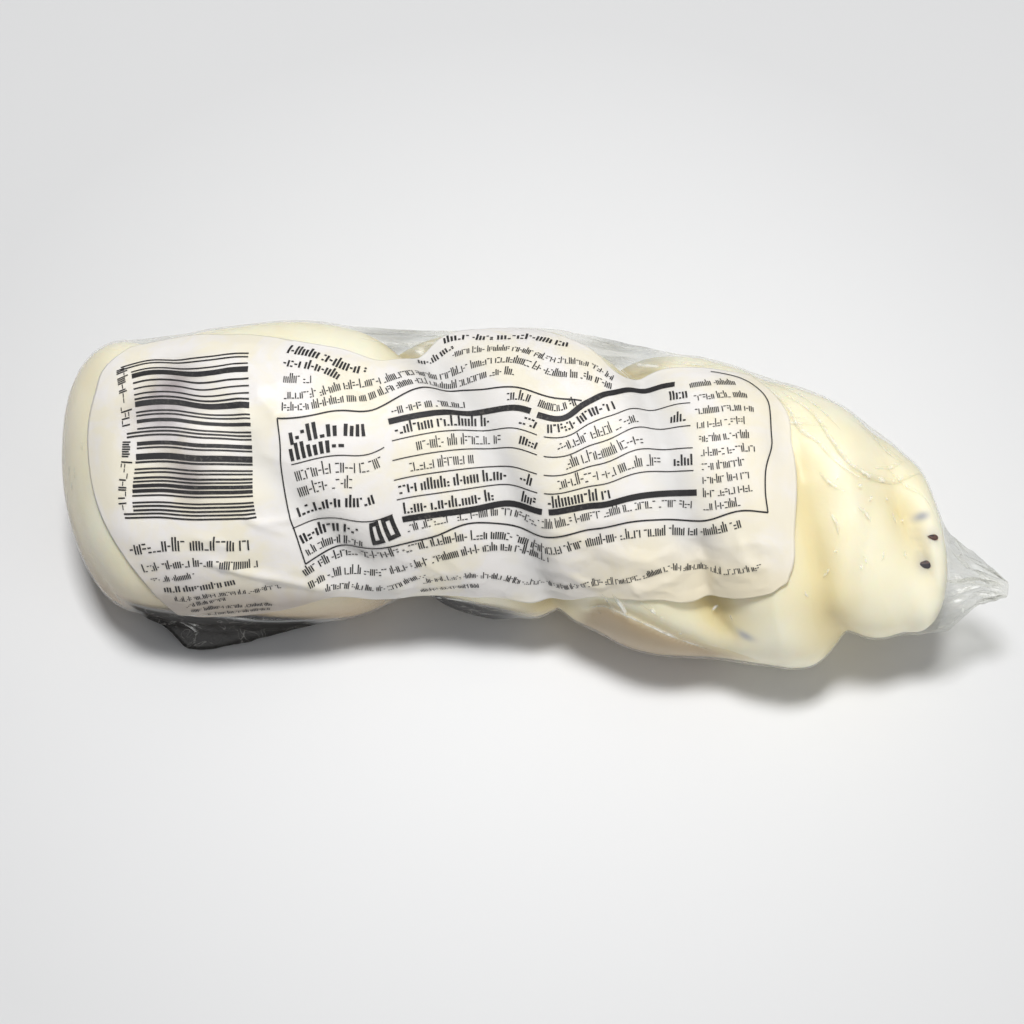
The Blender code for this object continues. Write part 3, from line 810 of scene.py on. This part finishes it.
# creases by chance: X from and to, degrees from and to, how many, length from and to, heading, width, strength
chanceCreases = [
    (50, 71, 45, 120, 9, 0.8, 2.2, 70, 0.6, 0.8), (47, 60, 96, 150, 5, 0.8, 2, 60, 0.6, 0.7),
    (14, 40, 136, 152, 5, 0.8, 2.2, 40, 0.6, 0.7), (30, 62, -8, 34, 9, 5, 16, 5, 0.6, 0.4),
    (4, 36, -6, 30, 16, 8, 24, 3, 0.7, 0.55), (-34, -16, -14, 30, 12, 6, 18, 3, 0.7, 0.5),
    (-78, -36, -10, 14, 8, 8, 22, 3, 0.6, 0.4), (-86, -78, 30, 170, 4, 1.5, 5, 85, 0.7, 0.3),
    (-66, -40, 166, 192, 4, 1.2, 4, 50, 0.5, 0.4), (-30, 10, 166, 178, 5, 2, 8, 8, 0.5, 0.4),
    (74, 84, 0, 360, 30, 3, 10, 2, 0.6, 0.8), (78, 86, 0, 360, 10, 0.8, 2.5, 70, 0.5, 0.8),
    (-70, 66, 200, 340, 40, 4, 18, 8, 0.6, 0.4),
]
creaseShape = {
    "seed": 5,
    "rise": 0.06, "above": 0.04, "step": 0.4,  # mm: its ridge, its edges over the film, its faces
    "ends": 0.35,  # the share of its length in which each end narrows
    "faint": 0.15,  # how white its edges are
}


def chancePaths():
    rng = random.Random(creaseShape["seed"])
    paths = []
    for fromX, toX, low, high, count, short, long, heading, width, strength in chanceCreases:
        for _ in range(count):
            x, degrees = rng.uniform(fromX, toX), rng.uniform(low, high)
            length = min(rng.uniform(short, long), 86.3 - x)
            turn = math.radians(heading + rng.gauss(0, 9)) * rng.choice([-1, 1])
            reach = max(3.0, float(filmReach(np.float64(x), np.float64(math.radians(degrees)))))
            dx, dDegrees = length * math.cos(turn), math.degrees(length * math.sin(turn) / reach)
            bend = rng.uniform(-0.12, 0.12)
            midX = x + dx / 2 - bend * length * math.sin(turn)
            midDegrees = degrees + dDegrees / 2 + bend * length / reach * 57
            path = [(x, degrees), (midX, midDegrees), (x + dx, degrees + dDegrees)]
            paths.append((path, width, creaseShape["rise"], strength))
    return paths


def buildCreases(material):
    sheet = bmesh.new()
    strips = []
    for path, width, rise, strength in shownCreases + chancePaths():
        x, degrees = np.array(path, float).T
        angle = np.radians(degrees)
        along = lengthAlong(np.hypot(np.diff(x), np.diff(angle) * np.maximum(filmReach(x, angle), 2)[1:]))
        length = along[-1]
        columns = max(4, min(60, int(length / creaseShape["step"])))
        strip = bmesh.ops.create_grid(sheet, x_segments=columns, y_segments=2, size=1.0)["verts"]
        share, side = flatPlaces(strip)
        share = (share + 1) / 2 * length
        alongX, alongAngle = curvesAlong(along, x, angle)
        x, angle = alongX(share), alongAngle(share)
        reach = np.maximum(filmReach(x, angle), 1.5)
        wayX = alongX(share + 0.1) - alongX(share - 0.1)
        wayRound = (alongAngle(share + 0.1) - alongAngle(share - 0.1)) * reach
        size = np.hypot(wayX, wayRound) + 1e-9
        taper = np.clip(np.minimum(share, length - share) / (creaseShape["ends"] * length), 0, 1) ** 0.7
        taper *= 0.9 + 0.1 * np.sin(share * 0.9 + length * 7)
        aside = side * width / 2 * taper
        # the white ridge is partly a painted highlight, and one edge carries painted shade
        strips.append((
            x + aside * wayRound / size,
            angle - aside * wayX / size / reach,
            creaseShape["above"] + rise * taper * (1 - np.abs(side)),
            strength * taper * np.where(np.abs(side) < 0.5, 1.0, creaseShape["faint"]),
            np.where(side < -0.5, taper * min(1.0, max(0.0, width - 0.6)) * strength, 0.0),
        ))
    x, angle, proud, strength, shade = [np.concatenate(parts) for parts in zip(*strips)]
    x = np.clip(x, -86.2, 86.8)
    moveVertices(sheet, setDown(sectionPoint(x, angle, creasedFilm(x, angle, proud)[0])))
    print(f"creases: {len(strips)}")
    finishPiece("film_creases", sheet, material, "cheese_pack", {"strength": strength, "shade": shade})


labelShape = {
    "columns": 280, "rows": 130, "thickness": 0.1,
    "gap": 0.62, "lowerAtEdge": 0.3, "flatterAtEdge": 0.5,
    "spanned": 0.18, "spannedOverNotch": 0.85,  # the share of a groove that it crosses straight
}
# X, degrees, across in mm, strength
smudges = [
    (-62.8, 39.2, 3.5, 0.6), (-63, 52.5, 4.2, 1), (-62.6, 68, 4, 0.55), (-58.4, 86.7, 4, 0.7),
    (-57, 97, 2.5, 0.45), (-67.5, 58, 4, 0.4),
]
# below this line the label turns under, as (X, degrees)
foldLine = [(-78, 112), (-66, 117), (-54, 129.5), (-47, 135.6), (-39, 141), (-34, 146), (-27, 153)]
# where the label is wrinkled: at the lower right, in the middle, along its lower edge and beside the bar code
wrinklePatches = [(0.42, [(0, 20)], [(82, 112)]), (0.049, [(-50, -40), (44, 30)], []), (0.17, [], [(122, 142)])]
besideCode = [(-47, 60, 7, 32, 0.3)]
clearerPatches = [(0.25, [(25, 42)], []), (0.75, [(2, 26)], [(98, 126)])]


def labelPoints(u, v):
    # points on the label before it is folded, in mm, with their X and angle and how near its edge they are
    x, angle = labelPlace(u, v)
    nearEdge = fade(np.maximum(np.abs(u), np.abs(v)), (0.9, 1))
    # it runs nearly straight over the notch between the ropes at its lower edge
    notch = np.exp(-(((x + 22) / 9) ** 2)) * fade(np.degrees(angle), (134, 152))
    spanned = labelShape["spanned"] + (labelShape["spannedOverNotch"] - labelShape["spanned"]) * notch
    reach = filmReach(x, angle, spanned) + labelShape["gap"] * (1 - labelShape["lowerAtEdge"] * nearEdge)
    return setDown(sectionPoint(x, angle, reach)), x, angle, reach, nearEdge


def labelRelief(points, x, angle):
    amount = 0.07 + patches(x, np.degrees(angle), wrinklePatches) + swells(x, angle, besideCode)
    waves = np.maximum(amount * (crumple(points, (8, 6, 6), 1) - 0.35), -0.1)
    return foldHeight(points, labelFolds + strandFolds) + waves


def onLabel(u, v, proud):
    # points on the label's folded surface, in mm
    smooth, x, angle, reach, nearEdge = labelPoints(u, v)
    relief = labelRelief(smooth, x, angle) * (1 - labelShape["flatterAtEdge"] * nearEdge)
    return setDown(sectionPoint(x, angle, reach + proud + relief)), x, angle


def buildLabel(material):
    sheet = bmesh.new()
    bmesh.ops.create_grid(sheet, x_segments=labelShape["columns"], y_segments=labelShape["rows"], size=1.0)
    u, v = flatPlaces(sheet.verts)
    # the rows lie closer towards the upper and lower edges
    points, x, angle = onLabel(u, 0.35 * np.sin(v * math.pi / 2) + 0.65 * v, 0.12)
    moveVertices(sheet, points)
    degrees = np.degrees(angle)
    smudge = sum(
        strength * nearTo(points, atX, atDegrees, filmReach, across) for atX, atDegrees, across, strength in smudges
    )
    # painted shade where the label turns under, darker towards its lower edge
    turnedUnder = fade(degrees - curveThrough(foldLine)(x), (-3, 10)) * fade(x, (-26, -34))
    numbers = {
        # painted shade where the label spans a groove
        "lift": np.clip(grooveDepth(x) * grooveAt(x, angle) / 6, 0, 1),
        "smudge": np.clip(smudge, 0, 1),
        "paintedShade": turnedUnder * (0.2 + 0.6 * fade(degrees, (134, 156))),
        "clearer": np.clip(patches(x, degrees, clearerPatches), 0, 0.85),
    }
    label = finishPiece("label_sheet", sheet, material, "label", numbers)
    thicken = label.modifiers.new("thickness", "SOLIDIFY")
    thicken.thickness = labelShape["thickness"] * millimetre
    thicken.offset = 0


# the print: rules, bars and rows of made-up marks that stand for words, drawn along paths given as (u, v)
printShape = {
    "rise": 0.3,
    "unitU": 65.0, "unitV": 29.0,  # mm for a step of 1
    "step": 0.6, "longest": 0.8,  # mm
    "probeU": 0.004, "probeV": 0.01,
    "edge": 0.985,
    "frameRule": 0.26, "tableRule": 1.05, "rowRule": 0.17,
}
printFrame = [
    [(-0.45, 0.42), (-0.37, 0.45), (-0.25, 0.53), (-0.13, 0.6), (0, 0.59), (0.13, 0.47), (0.25, 0.47),
     (0.33, 0.51), (0.4, 0.55)],
    [(-0.45, 0.42), (-0.44, 0.26), (-0.44, 0.09), (-0.44, -0.21), (-0.45, -0.43), (-0.48, -0.67)],
    [(0.92, -0.23), (0.91, -0.05), (0.91, 0.14), (0.94, 0.46), (0.94, 0.66), (0.94, 0.84), (0.92, 0.91),
     (0.88, 0.94), (0.84, 0.945)],
    [(-0.48, -0.67), (-0.24, -0.55), (-0.06, -0.52), (0.04, -0.47), (0.15, -0.48), (0.32, -0.43), (0.53, -0.37),
     (0.74, -0.29), (0.84, -0.21), (0.92, -0.23)],
]


def runAlong(path):
    # a path over the label: its length in mm at each step, u, v, and the change in them that goes 1 mm square to it
    u, v = np.array(path, float).T
    rough = lengthAlong(np.hypot(np.diff(u) * printShape["unitU"], np.diff(v) * printShape["unitV"]))
    at = np.linspace(0, rough[-1], max(8, int(rough[-1] / printShape["step"])))
    u, v = [curve(at) for curve in curvesAlong(rough, u, v)]
    here = labelPoints(u, v)[0]
    sideU = (labelPoints(u + printShape["probeU"], v)[0] - here) / printShape["probeU"]
    sideV = (labelPoints(u, v + printShape["probeV"])[0] - here) / printShape["probeV"]
    way = np.gradient(here, axis=0)
    alongU, alongV = (sideU * way).sum(1), (sideV * way).sum(1)
    size = np.linalg.norm(alongU[:, None] * sideV - alongV[:, None] * sideU, axis=1)
    aside = [-alongV / size, alongU / size]
    if len(at) > 12:
        aside = [np.convolve(np.pad(step, 3, mode="edge"), np.ones(7) / 7, mode="valid") for step in aside]
    return lengthAlong(np.linalg.norm(np.diff(here, axis=0), axis=1)), u, v, *aside


def addMark(flat, left, low, right, high):
    # one rectangle, drawn flat, cut into short lengths so that it can bend with the label
    across = max(1, math.ceil((right - left) / printShape["longest"]))
    up = max(1, math.ceil((high - low) / printShape["longest"]))
    place = Matrix.Translation(((left + right) / 2, (low + high) / 2, 0))
    size = Matrix.Diagonal((right - left, high - low, 1, 1))
    bmesh.ops.create_grid(flat, x_segments=across, y_segments=up, size=0.5, matrix=place @ size)


def layRun(flat, path, draw):
    # draws marks along a run, lower left corner at 0, and carries them onto the path
    length, u, v, asideU, asideV = runAlong(path)
    first = len(flat.verts)
    draw(flat, length[-1])
    flat.verts.ensure_lookup_table()
    marks = flat.verts[first:]
    if not marks:
        return
    a, b = flatPlaces(marks)
    newU = np.interp(a, length, u) + b * np.interp(a, length, asideU)
    newV = np.interp(a, length, v) + b * np.interp(a, length, asideV)
    for vertex, atU, atV in zip(marks, newU.tolist(), newV.tolist()):
        vertex.co = (atU, atV, 0)


def drawRule(weight):
    return lambda flat, length: addMark(flat, 0, -weight / 2, length, weight / 2)


def drawWords(height, stroke, seed, fill=1.0, wider=1.0):
    # made-up marks: upright ticks with loose dashes between them, grouped as words are
    def draw(flat, length):
        rng = random.Random(seed)
        at, middle, thin = 0.0, height * 0.72, stroke * 0.8
        while at < length * fill:
            for _ in range(rng.randint(4, 15)):
                wide = height * rng.choice([0.2, 0.24, 0.28]) * wider
                if at + wide > length * fill:
                    return
                if rng.random() < 0.66:
                    addMark(flat, at, 0.0, at + stroke, rng.choice([height, middle, middle, middle, middle * 0.85]))
                    at += stroke
                else:
                    for level in rng.sample([0.0, 0.5, 1.0], rng.choice([1, 1, 2])):
                        low = level * (middle - thin)
                        addMark(flat, at, low, at + wide, low + thin)
                    at += wide
                at += max(stroke * 0.6, height * 0.08)
            at += height * 0.26
    return draw


def between(lower, upper, share, left, right):
    # a path a share of the way up from one curve to another
    under, over = curveThrough(lower), curveThrough(upper)
    return [(u, float(under(u) * (1 - share) + over(u) * share)) for u in np.linspace(left, right, 7)]


def drawTables(flat):
    thickLeft = [(-0.14, 0.44), (-0.04, 0.36), (0.05, 0.34), (0.15, 0.32), (0.25, 0.35)]
    thickRight = [(0.27, 0.35), (0.35, 0.4), (0.41, 0.54), (0.49, 0.75), (0.58, 0.86), (0.69, 0.84)]
    lowLeft = [(-0.13, -0.36), (-0.03, -0.38), (0.06, -0.38), (0.28, -0.27)]
    lowRight = [(0.3, -0.26), (0.53, -0.17), (0.72, -0.06)]
    for path in (thickLeft, thickRight, lowLeft, lowRight):
        layRun(flat, path, drawRule(printShape["tableRule"]))
    # lower and upper rule, ends in u, bold rows, how far each row's words go, rows with a last column
    tables = [
        (lowLeft, thickLeft, -0.13, 0.27, (0, 3, 4), (0.66, 0.7, 0.5, 0.78, 0.66), (0, 1, 3, 4)),
        (lowRight, thickRight, 0.29, 0.71, (0, 4), (0.5, 0.62, 0.64, 0.78, 0.44), (0, 1, 3)),
    ]
    for side, (lower, upper, left, right, bold, fills, shared) in enumerate(tables):
        for row, fill in enumerate(fills):
            share = 1 - (row + 1) / 5
            if row < 4:
                layRun(flat, between(lower, upper, share, left, right), drawRule(printShape["rowRule"]))
            indent, stroke = (0.01, 0.36) if row in bold else (0.045 + 0.02 * ((row + side) % 2), 0.2)
            words = between(lower, upper, share + 0.05, left + indent, right)
            layRun(flat, words, drawWords(2.0, stroke, 11 + 5 * side + row, fill))
            if row in shared:
                last = between(lower, upper, share + 0.05, right - 0.055, right - 0.002)
                layRun(flat, last, drawWords(1.9, 0.36, 40 + 5 * side + row))


# each run of marks: path, height and stroke in mm, and how much wider the marks are
printRuns = [
    # the column on the left
    ([(-0.41, 0.245), (-0.17, 0.385)], 2.9, 0.66, 1.15),
    ([(-0.41, 0.125), (-0.25, 0.215)], 2.9, 0.66, 1.15),
    ([(-0.4, -0.03), (-0.15, 0.11)], 2.3, 0.22),
    ([(-0.4, -0.16), (-0.24, -0.06)], 2.2, 0.22),
    ([(-0.42, -0.32), (-0.18, -0.17)], 2.2, 0.42),
    ([(-0.45, -0.52), (-0.26, -0.43)], 2.2, 0.42),
    ([(-0.46, -0.62), (-0.28, -0.55)], 1.7, 0.22),
    # the heads of the tables, and the line under them
    ([(-0.13, 0.475), (-0.04, 0.41), (0.07, 0.39)], 1.8, 0.22),
    ([(0.18, 0.375), (0.25, 0.4)], 1.8, 0.26),
    ([(0.27, 0.4), (0.33, 0.43), (0.39, 0.51)], 1.8, 0.24),
    ([(-0.13, -0.46), (-0.02, -0.445), (0.06, -0.44), (0.25, -0.39), (0.45, -0.31), (0.71, -0.2)], 1.7, 0.2),
    # the lines over the frame, cut short where the label dips between the ropes
    ([(-0.46, 0.88), (-0.37, 0.87), (-0.28, 0.82), (-0.21, 0.84)], 2.1, 0.4),
    ([(-0.46, 0.78), (-0.37, 0.78), (-0.28, 0.72)], 1.9, 0.36),
    ([(-0.45, 0.665), (-0.36, 0.69)], 1.9, 0.2),
    ([(-0.44, 0.56), (-0.34, 0.6), (-0.26, 0.69), (-0.19, 0.765), (-0.09, 0.755), (0.08, 0.645), (0.27, 0.62),
      (0.41, 0.71), (0.5, 0.79)], 1.7, 0.22),
    ([(-0.44, 0.475), (-0.34, 0.515), (-0.25, 0.6), (-0.17, 0.675), (-0.06, 0.65), (0.08, 0.56),
      (0.2, 0.535)], 1.6, 0.22),
    ([(0.02, 0.795), (0.12, 0.72), (0.27, 0.705), (0.36, 0.765), (0.43, 0.82), (0.52, 0.87)], 1.5, 0.2),
    ([(-0.07, 0.925), (-0.03, 0.88), (0.03, 0.85)], 1.4, 0.34),
    ([(0, 0.93), (0.05, 0.88), (0.11, 0.82), (0.18, 0.8), (0.28, 0.84), (0.38, 0.9)], 1.9, 0.4, 1.05),
    # the lines under the frame
    ([(-0.5, -0.755), (-0.33, -0.68), (-0.23, -0.63), (-0.02, -0.58), (0.2, -0.58), (0.42, -0.53), (0.68, -0.45),
      (0.85, -0.35)], 1.8, 0.24),
    ([(-0.51, -0.85), (-0.36, -0.81), (-0.2, -0.745), (0.01, -0.67), (0.14, -0.65), (0.27, -0.64)], 1.7, 0.22),
    ([(-0.48, -0.915), (-0.33, -0.9), (-0.13, -0.8)], 1.3, 0.2),
    ([(-0.16, -0.86), (0, -0.83), (0.24, -0.88), (0.4, -0.87), (0.55, -0.82), (0.63, -0.75), (0.78, -0.75),
      (0.91, -0.74)], 1.25, 0.17),
    ([(-0.18, -0.94), (-0.1, -0.92), (0.02, -0.9)], 1, 0.17),
    # the lines in the lower left corner, smaller towards the label's edge
    ([(-0.97, -0.56), (-0.75, -0.49), (-0.58, -0.49)], 2.6, 0.3),
    ([(-0.97, -0.67), (-0.77, -0.59), (-0.6, -0.61)], 1.7, 0.24),
    ([(-0.97, -0.74), (-0.8, -0.66)], 1.3, 0.2),
    ([(-0.95, -0.79), (-0.7, -0.71)], 1.4, 0.32),
    ([(-0.94, -0.85), (-0.75, -0.79), (-0.58, -0.79)], 1.2, 0.18),
    ([(-0.92, -0.89), (-0.77, -0.83)], 1.1, 0.18),
    ([(-0.92, -0.93), (-0.8, -0.895), (-0.65, -0.92)], 1, 0.18),
    ([(-0.88, -0.965), (-0.78, -0.945), (-0.67, -0.965)], 0.9, 0.18),
]


def drawBlocks(flat, length):
    # two squat frames, the boldest marks on the label
    for left in (0.0, 3.0):
        for low in (0.0, 3.7):
            addMark(flat, left, low, left + 2.4, low + 0.8)
        for side in (0.0, 1.6):
            addMark(flat, left + side, 0.8, left + side + 0.8, 3.7)


barCode = {
    "seed": 7, "tall": 34.0,
    "bars": [0.28, 0.28, 0.34, 0.34, 0.6, 0.65, 1.05], "gaps": [0.42, 0.45, 0.5, 0.75, 1.1],
    "sideBar": 0.3, "sideGap": 0.45, "sideLonger": 0.03,
    "leftU": [(0, -0.885), (0.5, -0.84), (1, -0.91)], "rightU": [(0, -0.53), (0.5, -0.52), (1, -0.57)],
    "leftV": [(0, -0.32), (0.5, 0.25), (1, 0.8)], "rightV": [(0, -0.28), (0.5, 0.28), (1, 0.85)],
}


def drawBarCode(flat):
    # bars of chance widths between plain side bars, with a column of small marks beside them
    rng = random.Random(barCode["seed"])
    leftU, leftV, rightU, rightV = [curveThrough(barCode[side]) for side in ("leftU", "leftV", "rightU", "rightV")]
    tall, at = barCode["tall"], 0.0
    while at < tall - 0.5:
        guard = at < 1.2 or at > tall - 1.6 or abs(at - tall / 2) < 0.7
        weight = barCode["sideBar"] if guard else rng.choice(barCode["bars"])
        share = (at + weight / 2) / tall
        left = (float(leftU(share)) - (barCode["sideLonger"] if guard else 0), float(leftV(share)))
        right = (float(rightU(share)), float(rightV(share)))
        middle = ((left[0] + right[0]) / 2, (left[1] + right[1]) / 2 - 0.012 * share)
        layRun(flat, [left, middle, right], drawRule(weight))
        at += weight + (barCode["sideGap"] if guard else rng.choice(barCode["gaps"]))
    for low, high in ((0.03, 0.47), (0.53, 0.97)):
        path = [(float(leftU(s)) - 0.042, float(leftV(s))) for s in np.linspace(high, low, 6)]
        layRun(flat, path, drawWords(2.1, 0.24, int(low * 100), wider=1.5))


def buildInk(material):
    flat = bmesh.new()
    for path in printFrame:
        layRun(flat, path, drawRule(printShape["frameRule"]))
    drawTables(flat)
    for number, (path, height, stroke, *wider) in enumerate(printRuns):
        layRun(flat, path, drawWords(height, stroke, 60 + number, 1.0, *wider))
    for path in ([(-0.41, 0.10), (-0.28, 0.17), (-0.15, 0.25)], [(-0.45, -0.39), (-0.27, -0.33), (-0.15, -0.3)]):
        layRun(flat, path, drawRule(printShape["rowRule"]))
    layRun(flat, [(-0.245, -0.52), (-0.14, -0.47)], drawBlocks)
    # the narrow column on the right: ten short lines, each as long as chance has it
    for row in range(10):
        share = row / 9
        path = [(0.74 - 0.02 * share, -0.2 + 0.98 * share), (0.89 + 0.01 * share, -0.15 + 0.99 * share)]
        layRun(flat, path, drawWords(1.55, 0.2, 200 + row, 0.78 + 0.22 * ((row * 7) % 10) / 10, 1.1))
    drawBarCode(flat)
    u, v = np.clip(flatPlaces(flat.verts), -printShape["edge"], printShape["edge"])
    moveVertices(flat, onLabel(u, v, printShape["rise"])[0])
    print(f"print: {len(flat.faces)} faces")
    finishPiece("print_ink", flat, material, "label")


studio = {
    "centre": "#E1E1E1", "edge": "#CFCFCF", "size": 1.6,  # the floor, with a painted pool of light that is brighter in the middle
    "zenith": 0.38, "sky": "#F2F4F8",
    "lamps": [  # place, size, watts, whether shiny faces mirror it
        ((-0.04, 0.06, 0.75), (0.18, 0.14), 4.15, False),
        ((-0.04, 0.06, 0.75), (0.18, 0.14), 1.2, True),
        ((0.42, -0.28, 0.16), (0.5, 0.26), 0.92, False),
    ],
    "lampsFace": (0, 0, 0.02),
    "turn": math.radians(6.8), "lift": math.radians(62.0),  # the camera
    "cameraFaces": (0, 0, 0.0214), "distance": 0.4125, "lens": 80, "shift": (-18.7 / 1024, -22.1 / 1024),
}


def buildFloor():
    # a seamless pale sweep with a painted pool of light, brightest under the pack
    material, add, place = newMaterial("paleSweep")
    away = add("VectorMath", {0: place}, operation="LENGTH")
    far = add("MapRange", {0: away, 1: 0.03, 2: 0.125})
    grain = add("TexNoise", {"Vector": place, "Scale": 3.0})
    uneven = add("MapRange", {0: grain, 1: 0.3, 2: 0.7, 3: -0.03, 4: 0.03})
    share = add("Math", {0: far, 1: uneven}, operation="ADD")
    colour = add("Mix", {0: share, 6: studio["centre"], 7: studio["edge"]}, data_type="RGBA")
    paper = add("BsdfPrincipled", {"Base Color": colour, "Roughness": 0.8, "Specular IOR Level": 0.1})
    add("OutputMaterial", {"Surface": paper})
    sheet = bmesh.new()
    bmesh.ops.create_grid(sheet, x_segments=8, y_segments=8, size=studio["size"])
    floor = addPiece("studio_floor", sheet, material)


def buildLights():
    world = bpy.data.worlds.new("studio")
    world.use_nodes = True
    world.node_tree.nodes.clear()
    add = partial(addNode, world.node_tree)
    # dark round the horizon and brighter overhead, as under a diffuser
    way = add("TexCoord").outputs["Generated"]
    height = add("SeparateXYZ", {"Vector": way}).outputs["Z"]
    strength = add("MapRange", {0: height, 1: 0.2, 2: 0.9, 4: studio["zenith"]})
    sky = add("Background", {"Color": studio["sky"], "Strength": strength})
    add("OutputWorld", {"Surface": sky})
    bpy.context.scene.world = world
    for place, size, watts, mirrored in studio["lamps"]:
        light = bpy.data.lights.new("softbox", "AREA")
        light.shape = "RECTANGLE"
        light.size, light.size_y = size
        light.energy = watts
        lamp = addObject("softbox", light)
        lamp.location = place
        lamp.visible_glossy = mirrored
        lamp.rotation_euler = (Vector(studio["lampsFace"]) - lamp.location).to_track_quat("-Z", "Y").to_euler()


def buildCamera():
    turn, lift = studio["turn"], studio["lift"]
    away = Vector((math.sin(turn) * math.cos(lift), -math.cos(turn) * math.cos(lift), math.sin(lift)))
    camera = bpy.data.cameras.new("camera")
    camera.lens = studio["lens"]
    camera.sensor_width = 36
    camera.shift_x, camera.shift_y = studio["shift"]
    camera.clip_start = 0.01
    placed = addObject("camera", camera)
    placed.location = Vector(studio["cameraFaces"]) + away * studio["distance"]
    placed.rotation_euler = away.to_track_quat("Z", "Y").to_euler()
    bpy.context.scene.camera = placed


bpy.context.scene.view_settings.view_transform = "Standard"
buildCheese(makeCheeseMaterial())
print("cheese built")
buildSeeds(makeSeedMaterial())
buildFilm(makeFilmMaterial())
buildCreases(makeCreaseMaterial())
print("film built")
buildLabel(makeLabelMaterial())
print("label built")
buildInk(makeInkMaterial())
print("print built")
buildFloor()
buildLights()
buildCamera()
print("studio built")

bpy.context.view_layer.update()
